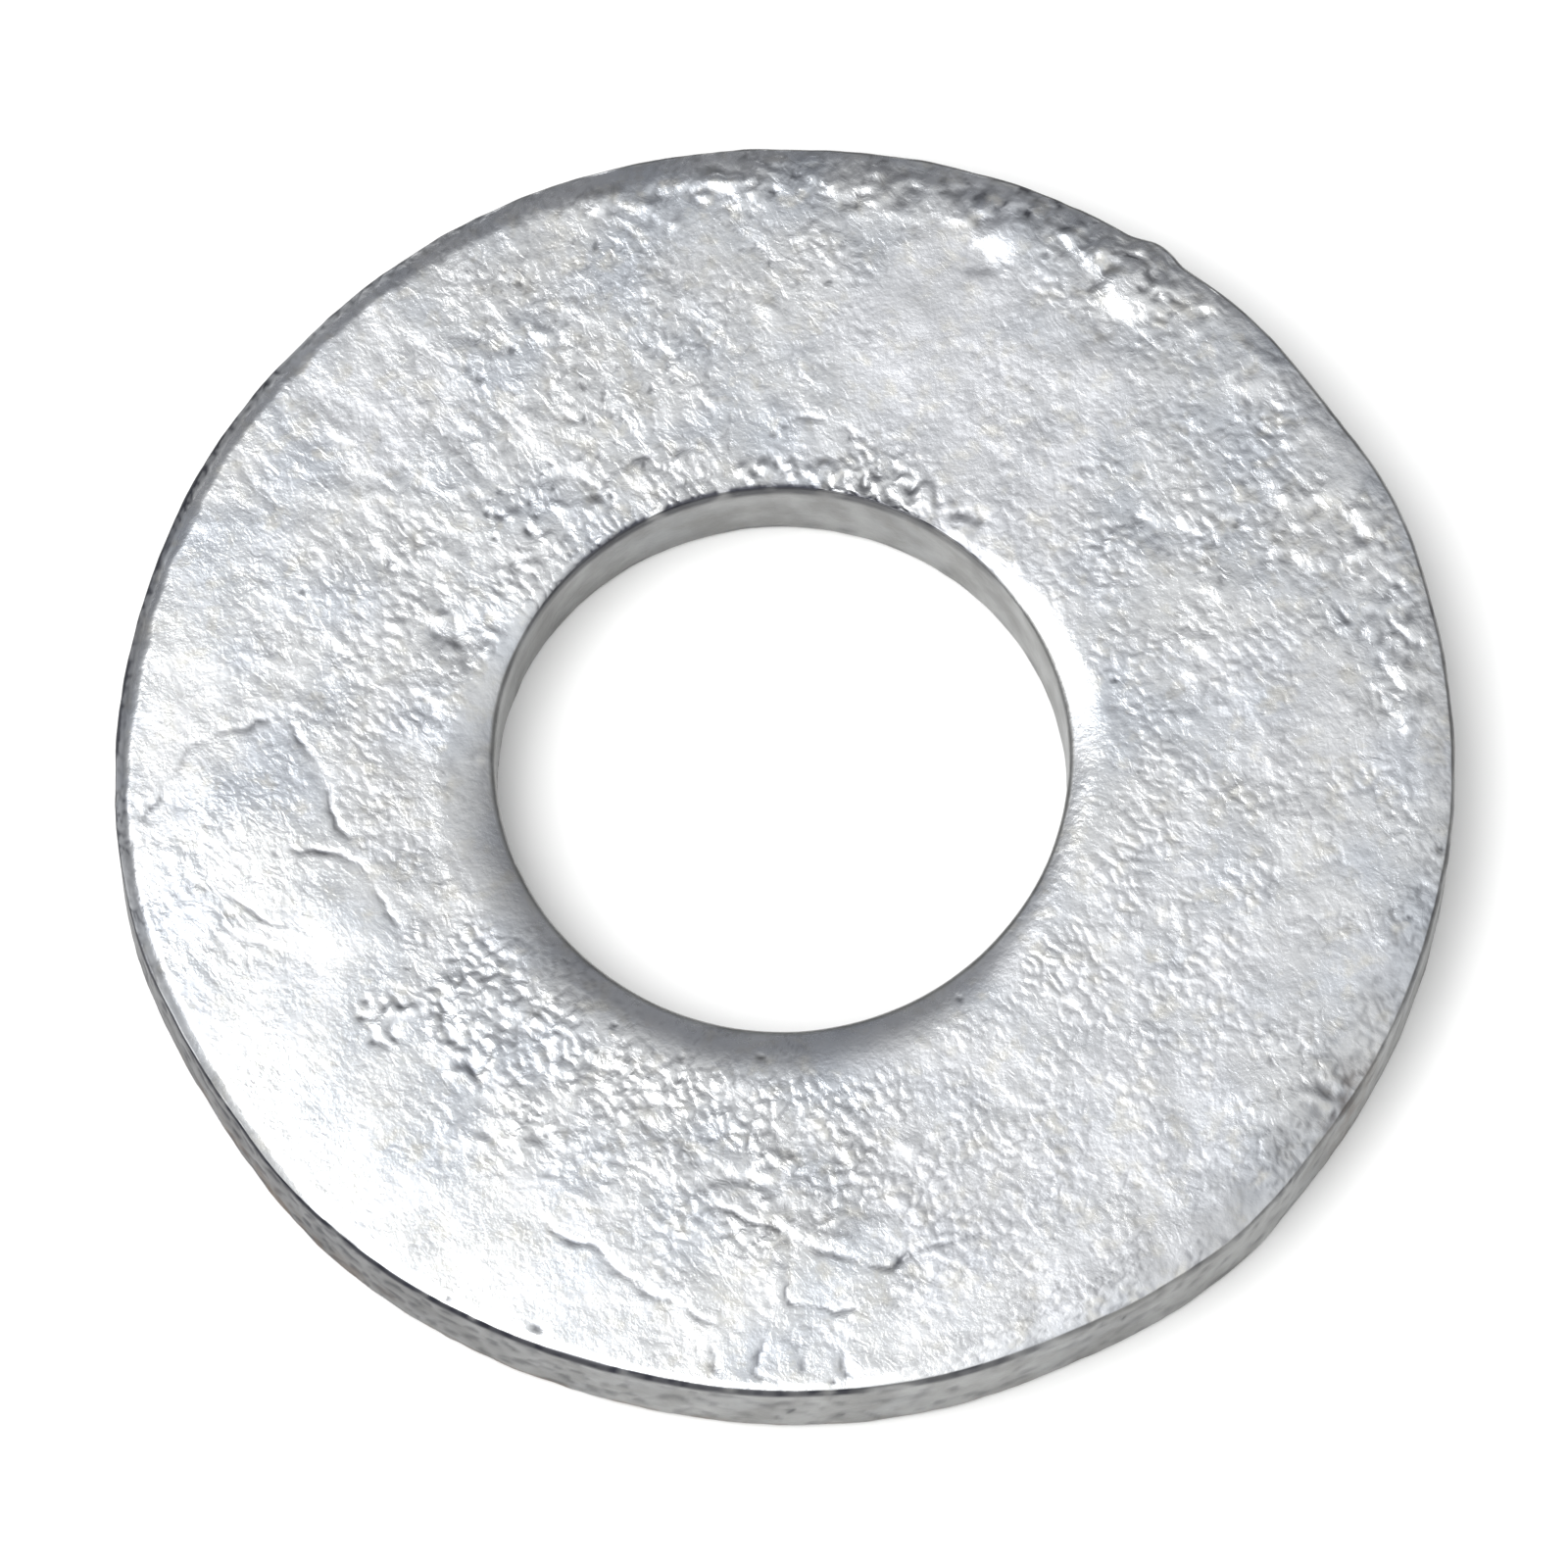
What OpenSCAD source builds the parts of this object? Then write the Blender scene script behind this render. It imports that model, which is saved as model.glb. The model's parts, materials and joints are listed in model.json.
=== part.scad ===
// Flat washer for a 3/8 inch bolt: a stamped steel ring, sealed inside a hot-dip zinc coating.
// The origin is the centre of the hole on the lower bearing face. +Z runs along the hole,
// towards the face whose edges rolled over in the stamping. All sizes are in millimetres.

/* [Steel ring] */
// Outer diameter of the bare steel ring
ring_d = 25.4; // [24.8:0.1:26.4]
// Diameter of the hole punched in the bare steel
hole_d = 11.1; // [10.4:0.1:12]
// Thickness of the bare steel
ring_t = 1.95; // [1.6:0.05:2.6]
// Radius of the hole's upper edge, rolled over by the punch
hole_roll_r = 0.42; // [0.3:0.02:0.6]
// Radius of the rim's upper edge, rolled over by the die
rim_roll_r = 0.26; // [0.16:0.02:0.4]
// Radius of the lower edges, where the burr was tumbled off
foot_r = 0.06; // [0.04:0.01:0.12]

/* [Zinc coating] */
// Thickness of the zinc on every face of the ring
zinc_t = 0.09; // [0.06:0.01:0.15]
// Height of the thick runs on the rim, as a share of their usual height
run_scale = 1; // [0.5:0.1:1.5]

/* [Hidden] */
$fn = 180;

// How far a cutter passes the faces that it cuts
past = 0.5;

// Outer sizes of the coated washer
coat_d = ring_d + 2 * zinc_t;
bore_d = hole_d - 2 * zinc_t;
coat_h = ring_t + 2 * zinc_t;

// A run covers the upright middle of the rim, and thins out above and below
run_low = 0.15 * coat_h;
run_h = 0.65 * coat_h;
run_edge_r = 0.25;

// Places on the rim where the molten zinc ran together and set thick, as
// [direction from +X in degrees, height over the rim, radius of the run's own round]
RUNS = [
    [21, 0.1, 10],
    [46, 0.07, 9],
    [58, 0.09, 1.4],
    [112, 0.03, 11],
    [-167, 0.06, 8],
    [-132, 0.04, 9],
    [-80, 0.05, 10],
    [-50, 0.11, 10],
];

// What a round edge of radius r takes off a square corner that points to +X and +Y
module corner_waste(r) {
    difference() {
        square(r + past);
        circle(r);
    }
}

// A disc of radius r and height h, with a round upper edge and a round lower edge
module disc(r, h, top_r, low_r) {
    rotate_extrude() difference() {
        square([r, h]);
        translate([r - top_r, h - top_r]) corner_waste(top_r);
        translate([r - low_r, low_r]) mirror([0, 1]) corner_waste(low_r);
    }
}

// Everything inside a hole of radius r through a plate of height h, whose edges are round
module hole_space(r, h, top_r, low_r) {
    rotate_extrude() union() {
        translate([0, -past]) square([r, h + 2 * past]);
        translate([r + top_r, h - top_r]) mirror([1, 0]) corner_waste(top_r);
        translate([r + low_r, low_r]) rotate(180) corner_waste(low_r);
    }
}

// The stamped ring, lifted by the zinc under it
module steel_ring() {
    translate([0, 0, zinc_t]) difference() {
        disc(ring_d / 2, ring_t, rim_roll_r, foot_r);
        hole_space(hole_d / 2, ring_t, hole_roll_r, foot_r);
    }
}

// The coated washer's outer shape with no hole: an even coat, and the runs on its rim
module coated_disc() {
    disc(coat_d / 2, coat_h, rim_roll_r + zinc_t, foot_r + zinc_t);
    for (run = RUNS) {
        out = coat_d / 2 + run[1] * run_scale - run[2];
        rotate(run[0]) translate([out, 0, run_low]) disc(run[2], run_h, run_edge_r, run_edge_r);
    }
}

// Bare steel, seen only where the zinc is cut open
module steel_core() {
    color([0.42, 0.41, 0.40]) steel_ring();
}

// One closed skin of zinc all round the ring
module zinc_coating() {
    color([0.78, 0.80, 0.83]) difference() {
        coated_disc();
        hole_space(bore_d / 2, coat_h, hole_roll_r + zinc_t, foot_r + zinc_t);
        steel_ring();
    }
}

steel_core();
zinc_coating();
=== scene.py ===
"""Looks of a hot-dip galvanised flat washer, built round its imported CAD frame. All lengths here are
in millimetres until a mesh or a shader is made. +Z is up, and directions are degrees from +X."""

import json
import math

import bpy
import numpy as np
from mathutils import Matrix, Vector


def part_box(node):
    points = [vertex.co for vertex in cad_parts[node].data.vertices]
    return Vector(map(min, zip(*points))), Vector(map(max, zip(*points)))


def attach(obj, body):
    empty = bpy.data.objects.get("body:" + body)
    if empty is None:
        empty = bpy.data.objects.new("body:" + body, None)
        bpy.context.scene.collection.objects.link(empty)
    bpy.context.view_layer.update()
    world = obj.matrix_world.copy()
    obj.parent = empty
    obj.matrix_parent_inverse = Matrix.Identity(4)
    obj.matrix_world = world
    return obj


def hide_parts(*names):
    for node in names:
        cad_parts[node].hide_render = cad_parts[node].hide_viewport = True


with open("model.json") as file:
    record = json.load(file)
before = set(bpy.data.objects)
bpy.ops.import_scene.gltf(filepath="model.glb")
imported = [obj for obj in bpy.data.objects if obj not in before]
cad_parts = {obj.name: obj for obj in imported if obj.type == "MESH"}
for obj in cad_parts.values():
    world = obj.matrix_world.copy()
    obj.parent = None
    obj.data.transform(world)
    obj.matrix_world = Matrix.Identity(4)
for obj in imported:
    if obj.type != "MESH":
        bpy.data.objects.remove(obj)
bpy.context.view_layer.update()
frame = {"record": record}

MM = 0.001

# Sizes of the CAD frame
core_lo = np.array(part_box("steel_core")[0]) / MM
coat_hi = np.array(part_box("zinc_coating")[1]) / MM
mounts = {m["name"]: m for m in frame["record"]["mounts"]}
bore_r = mounts["bore"]["dims"]["r_mm"]
rim_r = coat_hi[0]
height = coat_hi[2]
zinc_t = core_lo[2]


# ---------------------------------------------------------------- numbers that vary round the ring


def round_curve(knots, at):
    """A smooth closed curve through (direction, value) knots, read at directions in degrees."""
    deg, val = (np.array(c, float) for c in zip(*sorted(knots)))
    deg = np.concatenate([deg[-2:] - 360, deg, deg[:2] + 360])
    val = np.concatenate([val[-2:], val, val[:2]])
    at = (at - deg[2]) % 360 + deg[2]
    k = np.clip(np.searchsorted(deg, at, side="right") - 1, 1, len(deg) - 3)
    t = (at - deg[k]) / (deg[k + 1] - deg[k])
    before = (val[k + 1] - val[k - 1]) / (deg[k + 1] - deg[k - 1])
    after = (val[k + 2] - val[k]) / (deg[k + 2] - deg[k])
    step = deg[k + 1] - deg[k]
    return (
        val[k] * (2 * t**3 - 3 * t**2 + 1)
        + val[k + 1] * (3 * t**2 - 2 * t**3)
        + before * step * (t**3 - 2 * t**2 + t)
        + after * step * (t**3 - t**2)
    )


def bump(at, centre, half_width):
    """A smooth bump of height 1 round a direction, and 0 beyond half_width degrees of it."""
    off = np.abs((at - centre + 180) % 360 - 180) / half_width
    return np.where(off < 1, (1 - np.minimum(off, 1) ** 2) ** 2, 0.0)


# ---------------------------------------------------------------- noise


def lattice(seed):
    """The hash table and gradients of one noise field."""
    rng = np.random.RandomState(seed)
    table = rng.permutation(256)
    grads = rng.normal(size=(256, 3))
    return table, grads / np.linalg.norm(grads, axis=1)[:, None]


def noise(p, seed):
    """Gradient noise from -1 to 1 at points p, with features about one unit across."""
    table, grads = lattice(seed)
    cell = np.floor(p).astype(int)
    f = p - cell
    w = f**3 * (f * (f * 6 - 15) + 10)
    total = np.zeros(len(p))
    for i in (0, 1):
        for j in (0, 1):
            for k in (0, 1):
                corner = cell + (i, j, k)
                h = table[corner[:, 0] & 255]
                h = table[(h + corner[:, 1]) & 255]
                h = table[(h + corner[:, 2]) & 255]
                share = np.ones(len(p))
                for axis, side in enumerate((i, j, k)):
                    share = share * (w[:, axis] if side else 1 - w[:, axis])
                total += share * np.sum(grads[h] * (f - (i, j, k)), axis=1)
    return total * 1.6


def cells(xy, seed):
    """How far points lie from the border of their cell, where cells are about one unit across."""
    rng = np.random.RandomState(seed)
    table = rng.permutation(256)
    jitter = rng.uniform(0.1, 0.9, size=(256, 2))
    home = np.floor(xy).astype(int)
    first, second = np.full(len(xy), 9.0), np.full(len(xy), 9.0)
    for i in (-1, 0, 1):
        for j in (-1, 0, 1):
            corner = home + (i, j)
            centre = corner + jitter[table[(table[corner[:, 0] & 255] + corner[:, 1]) & 255]]
            gap = np.hypot(*(xy - centre).T)
            second = np.minimum(second, np.maximum(first, gap))
            first = np.minimum(first, gap)
    return second - first


def fractal(p, seed, octaves, fall=0.5):
    """Octaves of noise, each half the size of the one before."""
    total, weight, size = np.zeros(len(p)), 0.0, 1.0
    for n in range(octaves):
        total += size * noise(p * 2**n, seed + n)
        weight += size
        size *= fall
    return total / weight


def smooth(x, lo, hi):
    """From 0 at lo to 1 at hi, with no corner at either end."""
    t = np.clip((x - lo) / (hi - lo), 0, 1)
    return t * t * (3 - 2 * t)


# ---------------------------------------------------------------- the ring's section

# Radius of the rim against its mean: flats and runs of thick zinc
RIM_RUNS = [
    (-165, 0.05), (-155, -0.05), (-146, -0.09), (-136, -0.01), (-125, 0.0), (-114, -0.03),
    (-104, -0.05), (-95, 0.0), (-84, 0.04), (-75, 0.04), (-66, 0.0), (-56, 0.08),
    (-47, 0.11), (-38, 0.0), (-28, -0.01), (-15, -0.01), (-4, 0.02), (5, 0.01),
    (14, 0.04), (24, 0.1), (35, -0.03), (45, 0.06), (53, 0.0), (65, 0.02),
    (76, 0.01), (86, -0.04), (96, -0.02), (115, 0.0), (135, -0.03), (150, -0.02),
    (163, -0.04), (178, 0.0),
]
# The band that leans over towards the rim: how wide, and how deep at its outer edge
RIM_WIDE = [
    (-172, 0.28), (-145, 0.26), (-120, 0.2), (-90, 0.14), (-60, 0.5), (-35, 0.85), (-10, 0.6),
    (20, 0.45), (45, 0.5), (57, 0.6), (70, 0.75), (90, 0.75), (115, 0.55), (140, 0.42), (162, 0.34),
]
RIM_DEEP = [
    (-172, 0.22), (-148, 0.17), (-120, 0.06), (-90, 0.03), (-60, 0.12), (-35, 0.2), (-10, 0.1),
    (20, 0.06), (45, 0.07), (57, 0.11), (70, 0.17), (90, 0.18), (115, 0.19), (140, 0.22), (165, 0.22),
]
# The same for the band that leans into the hole
LIP_WIDE = [
    (-180, 1.1), (-150, 1.2), (-120, 1.3), (-90, 1.35), (-60, 1.1), (-35, 0.7), (-10, 0.7),
    (10, 1.0), (30, 0.65), (45, 0.4), (58, 0.2), (75, 0.1), (110, 0.12), (140, 0.25), (160, 0.55),
]
LIP_DEEP = [
    (-180, 0.24), (-150, 0.28), (-120, 0.34), (-90, 0.36), (-60, 0.26), (-35, 0.13), (-10, 0.11),
    (10, 0.15), (30, 0.11), (45, 0.06), (58, 0.02), (75, 0.01), (110, 0.02), (140, 0.05), (160, 0.13),
]
# How far the upper face falls away between the middle of its width and the rim's band
FALL = [
    (-180, 0.07), (-140, 0.09), (-100, 0.08), (-60, 0.02), (-30, 0.035), (0, 0.035), (40, 0.04),
    (75, 0.05), (110, 0.035), (150, 0.04),
]
FLAT_TOP = height - 0.04
FLAT_LOW = 0.012
FOOT = 0.14  # round of both lower edges
RIM_ROUND = 0.12
LIP_ROUND = 0.16  # where the band into the hole is deep
LIP_ROUND_SHARP = 0.05  # where it is shallow
LIP_BEND = 2.6  # how late the band into the hole steepens, where 1 is a plain chamfer
RIM_BEND = 1.5
RIM_INSET = 0.035  # of the rim's mean radius inside the CAD solid's
NIB_AT, NIB_HALF_WIDE, NIB_TALL = 55.5, 3, 0.15  # the nib on the rim at the upper right


def hole_drift(deg):
    """Radius of the hole's edge, which sits a little off centre."""
    return bore_r + 0.05 * np.cos(np.radians(deg - 170))


def stations(count):
    """Evenly spaced places from 0 up to, and not including, 1."""
    return np.arange(count) / count


def lean(radius, hole, rim):
    """How far down its fall towards the rim the upper face is, from 0 to 1."""
    share = (radius - hole) / (rim - hole)
    return np.clip((share - 0.5) / 0.5, 0, 1) ** 1.7


def ring_grid(rounds, rows, least_round):
    """Points, outward normals and zone of the coating's even skin, as arrays over (station round
    the section, direction). rows holds the number of stations in each zone, in the order in which they
    are added below, and the hole's upper round is never smaller than least_round."""
    deg = np.arange(rounds) * 360 / rounds - 180
    one = np.ones(rounds)
    hole = hole_drift(deg) + 0.03 * bump(deg, 150, 40)
    rim = rim_r - RIM_INSET + round_curve(RIM_RUNS, deg) + NIB_TALL * bump(deg, NIB_AT, NIB_HALF_WIDE)
    fall = round_curve(FALL, deg)
    lip_w, lip_d = (np.maximum(round_curve(c, deg), 0.01) for c in (LIP_WIDE, LIP_DEEP))
    rim_w, rim_d = (np.maximum(round_curve(c, deg), 0.01) for c in (RIM_WIDE, RIM_DEEP))
    around = rim_r * np.stack([np.cos(np.radians(deg)), np.sin(np.radians(deg)), 0 * deg], -1)
    rim_w *= 1 + 0.35 * fractal(around / 1.1, 5, 3)  # the band's inner border wanders
    lip_q = LIP_ROUND_SHARP + (LIP_ROUND - LIP_ROUND_SHARP) * smooth(lip_d, 0.02, 0.2)
    lip_q = np.maximum(lip_q, least_round)
    rim_tilt = np.arctan(RIM_BEND * rim_d / rim_w)
    lip_tilt = np.arctan(LIP_BEND * lip_d / lip_w)
    rim_start = rim - RIM_ROUND * (1 - np.sin(rim_tilt))
    lip_start = hole + lip_q * (1 - np.sin(lip_tilt))
    rim_top = FLAT_TOP - fall * lean(rim_start - rim_w, hole, rim)
    rim_level = rim_top - rim_d - RIM_ROUND * np.cos(rim_tilt)
    lip_level = FLAT_TOP - lip_d - lip_q * np.cos(lip_tilt)
    low = FLAT_LOW + FOOT
    r, z, nr, nz, zone = [], [], [], [], []

    def add(radius, level, out, up, kind):
        r.append(radius * one)
        z.append(level * one)
        nr.append(out * one)
        nz.append(up * one)
        zone.append(kind)

    for t in stations(rows[0]):  # under face, from the hole outwards
        add(hole + FOOT + t * (rim - hole - 2 * FOOT), FLAT_LOW, 0, -1, "under")
    for t in stations(rows[1]):  # lower round of the rim
        a = t * math.pi / 2
        out, up = math.sin(a), -math.cos(a)
        add(rim - FOOT * (1 - out), low + FOOT * up, out, up, "foot")
    for t in stations(rows[2]):  # side of the rim
        add(rim, low + t * (rim_level - low), 1, 0, "rim")
    for t in stations(rows[3]):  # upper round of the rim
        a = math.pi / 2 - t * (math.pi / 2 - rim_tilt)
        out, up = np.sin(a), np.cos(a)
        add(rim - RIM_ROUND * (1 - out), rim_level + RIM_ROUND * up, out, up, "edge")
    for t in stations(rows[4]):  # leaning band along the rim
        tilt = np.arctan(RIM_BEND * rim_d / rim_w * (1 - t) ** (RIM_BEND - 1))
        level = rim_top - rim_d * (1 - t) ** RIM_BEND
        add(rim_start - t * rim_w, level, np.sin(tilt), np.cos(tilt), "band")
    for t in stations(rows[5]):  # upper face, from the rim inwards
        radius = rim_start - rim_w - t * (rim_start - rim_w - lip_start - lip_w)
        add(radius, FLAT_TOP - fall * lean(radius, hole, rim), 0, 1, "upper")
    for t in stations(rows[6]):  # leaning band along the hole
        tilt = np.arctan(LIP_BEND * lip_d / lip_w * t ** (LIP_BEND - 1))
        level = FLAT_TOP - lip_d * t**LIP_BEND
        add(lip_start + lip_w * (1 - t), level, -np.sin(tilt), np.cos(tilt), "lip")
    for t in stations(rows[7]):  # upper round of the hole
        a = lip_tilt + t * (math.pi / 2 - lip_tilt)
        out, up = np.sin(a), np.cos(a)
        add(hole + lip_q * (1 - out), lip_level + lip_q * up, -out, up, "mouth")
    for t in stations(rows[8]):  # wall of the hole
        add(hole, lip_level - t * (lip_level - low), -1, 0, "bore")
    for t in stations(rows[9]):  # lower round of the hole
        a = t * math.pi / 2
        out, up = -math.cos(a), -math.sin(a)
        add(hole + FOOT * (1 + out), low + FOOT * up, out, up, "foot")

    a = np.radians(deg)
    r, z, nr, nz = (np.array(c) for c in (r, z, nr, nz))
    points = np.stack([r * np.cos(a), r * np.sin(a), z], -1)
    normals = np.stack([nr * np.cos(a), nr * np.sin(a), nz], -1)
    return points, normals, np.array(zone)


# ---------------------------------------------------------------- relief of the zinc

SWELL_TALL = 0.018  # heights in the relief: long swells,
FOLD_TALL = 0.017  # folds,
BEAD_TALL = 0.02  # beads,
RIPPLE_TALL = 0.004  # the finest ripples,
SPECK_DEEP = 0.014  # specks,
PIT_DEEP = 0.03  # and the pits of PITS
PIT_R = 0.07

# Patches of the upper face: direction, share of the way from hole to rim, radius, how strong the
# folds are, how round their grain is, how frosted the zinc is
PATCHES = [
    (125, 0.45, 2.8, 1.5, 0.0, 0.1),
    (100, 0.35, 2.0, 1.1, 0.1, 0.2),
    (137, 0.64, 1.3, 0.35, 0.0, 0.8),
    (150, 0.75, 1.6, 0.9, 0.0, 0.2),
    (160, 0.4, 1.8, 1.1, 0.2, 0.1),
    (173, 0.88, 1.5, 0.15, 0.0, 0.3),
    (-168, 0.62, 1.5, 1.0, 0.2, 0.0),
    (-140, 0.85, 2.2, 0.05, 0.0, 0.2),
    (-115, 0.85, 2.2, 0.15, 0.0, 0.2),
    (-90, 0.88, 1.6, 0.5, 0.0, 0.1),
    (-130, 0.35, 1.8, 1.6, 0.9, 0.0),
    (-95, 0.35, 2.2, 1.5, 1.0, 0.1),
    (-68, 0.4, 2.0, 0.6, 0.8, 0.5),
    (-58, 0.7, 2.5, 0.6, 0.5, 0.6),
    (-35, 0.5, 2.6, 0.8, 0.5, 0.5),
    (-35, 0.92, 1.1, 1.3, 0.5, 0.0),
    (-12, 0.95, 0.9, 1.3, 0.5, 0.0),
    (0, 0.15, 1.2, 1.3, 0.1, 0.2),
    (0, 0.55, 2.2, 0.8, 0.5, 0.5),
    (13, 0.84, 1.2, 1.6, 0.0, 0.1),
    (35, 0.45, 1.3, 1.5, 0.6, 0.1),
    (25, 0.65, 1.4, 1.3, 0.4, 0.2),
    (53, 0.43, 2.2, 0.6, 0.2, 0.8),
    (72, 0.54, 2.0, 0.5, 0.2, 0.8),
    (45, 0.8, 1.6, 1.1, 0.4, 0.2),
    (69, 0.79, 0.3, 0.0, 0.0, 0.0),
    (55.5, 0.8, 0.35, 0.0, 0.0, 0.0),
    (-160, 0.44, 0.45, 0.0, 0.0, 0.1),
    (60, 0.9, 1.4, 1.9, 0.8, 0.0),
    (85, 0.88, 1.6, 1.7, 0.6, 0.0),
    (112, 0.9, 1.6, 1.2, 0.2, 0.1),
    (75, 0.05, 0.8, 1.6, 0.8, 0.0),
    (105, 0.06, 0.8, 1.3, 0.6, 0.0),
    (135, 0.08, 0.8, 1.3, 0.4, 0.0),
]
# Flow lines: half width, depth of the valley, height of the metal on its left, and the places
CREASES = [
    (0.06, 0.03, 0.02, [
        (-118, 0.66), (-116, 0.68), (-112, 0.69), (-108.5, 0.7), (-106, 0.75), (-101, 0.77),
        (-98, 0.81), (-95, 0.89),
    ]),
    (0.065, 0.03, 0.03, [
        (-108, 0.46), (-105, 0.47), (-96, 0.52), (-88, 0.6), (-80, 0.68), (-77, 0.66), (-71, 0.66),
        (-66, 0.64),
    ]),
    (0.05, 0.03, 0.0, [(-93, 0.57), (-90, 0.67), (-89, 0.76), (-84.5, 0.78), (-82, 0.76)]),
    (0.065, 0.03, 0.02, [
        (-172, 0.97), (-174, 0.92), (-180, 0.81), (177.5, 0.7), (176, 0.56), (180, 0.5), (-176.5, 0.43),
    ]),
    (0.065, 0.035, 0.012, [
        (-170, 0.57), (-168, 0.54), (-166, 0.44), (-163, 0.4), (-156, 0.37), (-152, 0.37),
    ]),
    (0.05, 0.03, 0.0, [(-167, 0.8), (-165.5, 0.77), (-161, 0.68), (-159.5, 0.64)]),
    (0.07, 0.035, 0.005, [(-176, 0.46), (-173, 0.44), (-170, 0.42), (-167, 0.4)]),
    (0.1, 0.05, 0.01, [(161, 0.3), (159, 0.24), (160, 0.17), (165, 0.12)]),
    (0.07, 0.035, 0.02, [(93, 0.16), (90, 0.18), (85.5, 0.2), (80.5, 0.18), (77, 0.15)]),
    (0.08, 0.02, -0.02, [(128, 0.12), (120, 0.16), (112, 0.17), (105, 0.13)]),
    (0.08, 0.02, 0.02, [(10, 0.93), (12.5, 0.89), (15, 0.87), (18, 0.87)]),
    (0.08, 0.02, 0.02, [(9, 0.8), (12, 0.78), (15, 0.77), (18, 0.74)]),
    (0.07, 0.02, 0.015, [(66, 0.9), (70, 0.87), (75, 0.9), (80, 0.86), (88, 0.87), (94, 0.84)]),
    (0.08, 0.025, 0.02, [(48, 0.93), (52, 0.9), (57, 0.93), (62, 0.91), (66, 0.94)]),
    (0.08, 0.02, 0.012, [(-144, 0.34), (-139, 0.42), (-130, 0.46), (-124, 0.52)]),
    (0.07, 0.02, 0.02, [(-84.5, 0.97), (-85, 0.93), (-85.5, 0.88)]),
    (0.07, 0.02, 0.02, [(-88, 0.98), (-88.5, 0.93), (-88, 0.87)]),
    (0.07, 0.02, 0.02, [(-91.5, 0.97), (-92.5, 0.9), (-92, 0.85)]),
    (0.07, 0.02, 0.015, [(-95.5, 0.95), (-96, 0.9), (-97.5, 0.86)]),
]
# Swellings and dimples: direction, share, radius, height
DOMES = [
    (-159, 0.45, 0.7, 0.025),
    (158, 0.17, 0.5, -0.03),
    (170, 0.12, 0.5, 0.02),
    (68, 0.84, 0.36, 0.08),
    (69.5, 0.74, 0.32, -0.045),
    (55, 0.86, 0.42, 0.1),
    (55.5, 0.73, 0.4, -0.055),
    (33, 0.45, 0.6, -0.025),
    (12, 0.32, 0.5, -0.015),
    (86, 0.84, 0.5, -0.03),
    (62.5, 0.88, 0.3, -0.03),
    (-37, 0.79, 0.7, 0.025),
    (-171, 0.64, 1.5, 0.05),
    (-158, 0.5, 0.55, 0.03),
    (-140, 0.3, 0.6, 0.02),
    (-118, 0.3, 0.5, -0.02),
    (-105, 0.4, 0.5, 0.02),
    (110, 0.6, 0.9, 0.02),
    (145, 0.5, 0.8, -0.015),
    (20, 0.6, 0.8, 0.02),
    (-15, 0.4, 0.9, 0.015),
]
# Crowds of small bumps and pits: direction, share, spread, count, radius, height
CROWDS = [
    (35.5, 0.42, 0.4, 14, 0.13, 0.02),
    (25, 0.63, 0.5, 14, 0.14, 0.02),
    (8, 0.33, 0.35, 10, 0.12, 0.018),
    (-144.5, 0.52, 0.25, 12, 0.1, 0.035),
    (54, 0.87, 0.22, 20, 0.08, 0.07),
    (157, 0.18, 0.3, 12, 0.11, 0.03),
    (-130, 0.3, 0.6, 24, 0.11, 0.03),
    (-34, 0.93, 0.3, 12, 0.1, 0.025),
    (-13, 0.95, 0.3, 10, 0.1, 0.02),
]
# The same along arcs: from and to a direction, share, spread, count, radius, height
CHAINS = [
    (98, 50, 0.06, 0.18, 80, 0.085, 0.045),
    (108, 46, 0.9, 0.3, 110, 0.12, 0.045),
    (152, 112, 0.12, 0.3, 30, 0.1, 0.03),
    (22, 2, 0.86, 0.35, 40, 0.12, 0.035),
    (44, 20, 0.86, 0.4, 50, 0.12, 0.03),
    (-140, -70, 0.4, 0.7, 90, 0.12, 0.025),
    (-25, 35, 0.5, 1.2, 80, 0.13, 0.014),
    (165, 105, 0.45, 1.2, 90, 0.13, 0.018),
    (75, 35, 0.5, 1.3, 60, 0.14, 0.01),
]
# Small pits: direction, share
PITS = [
    (-146, 0.57), (-145.5, 0.5), (-142, 0.52), (-143.5, 0.58), (-148, 0.53), (-144.5, 0.46),
    (-32, 0.96), (-34.5, 0.97), (-33.5, 0.93), (-15.5, 0.93), (-12.5, 0.99), (-9, 0.97),
    (138, 0.26), (137.5, 0.17), (138.5, 0.29), (141, 0.23), (122.5, 0.12), (85, 0.59),
    (14, 0.14), (153, 0.42), (160, 0.6), (118, 0.76), (58, 0.86), (53, 0.88), (50.5, 0.86),
    (-121, 0.12), (-108, 0.13), (-94, 0.09), (-56, 0.06),
    (64, 0.84), (72, 0.93), (83, 0.82), (91, 0.85), (-120, 0.97), (-112, 0.95), (-86, 0.97),
]


def place(deg, share):
    """A point on the upper face: a direction, and a share of the way from the hole to the rim."""
    r = bore_r + share * (rim_r - bore_r)
    return np.array([r * math.cos(math.radians(deg)), r * math.sin(math.radians(deg))])


def curve_through(places, count=50):
    """Points along a smooth curve through polar places."""
    knots = np.array([place(*p) for p in places])
    knots = np.concatenate([[2 * knots[0] - knots[1]], knots, [2 * knots[-1] - knots[-2]]])
    out = []
    for t in np.linspace(0, len(places) - 1 - 1e-6, count):
        k = int(t)
        f = t - k
        a, b, c, d = knots[k : k + 4]
        square, cube = 2 * a - 5 * b + 4 * c - d, 3 * b - a - 3 * c + d
        out.append(0.5 * (2 * b + (c - a) * f + square * f**2 + cube * f**3))
    return np.array(out)


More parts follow.
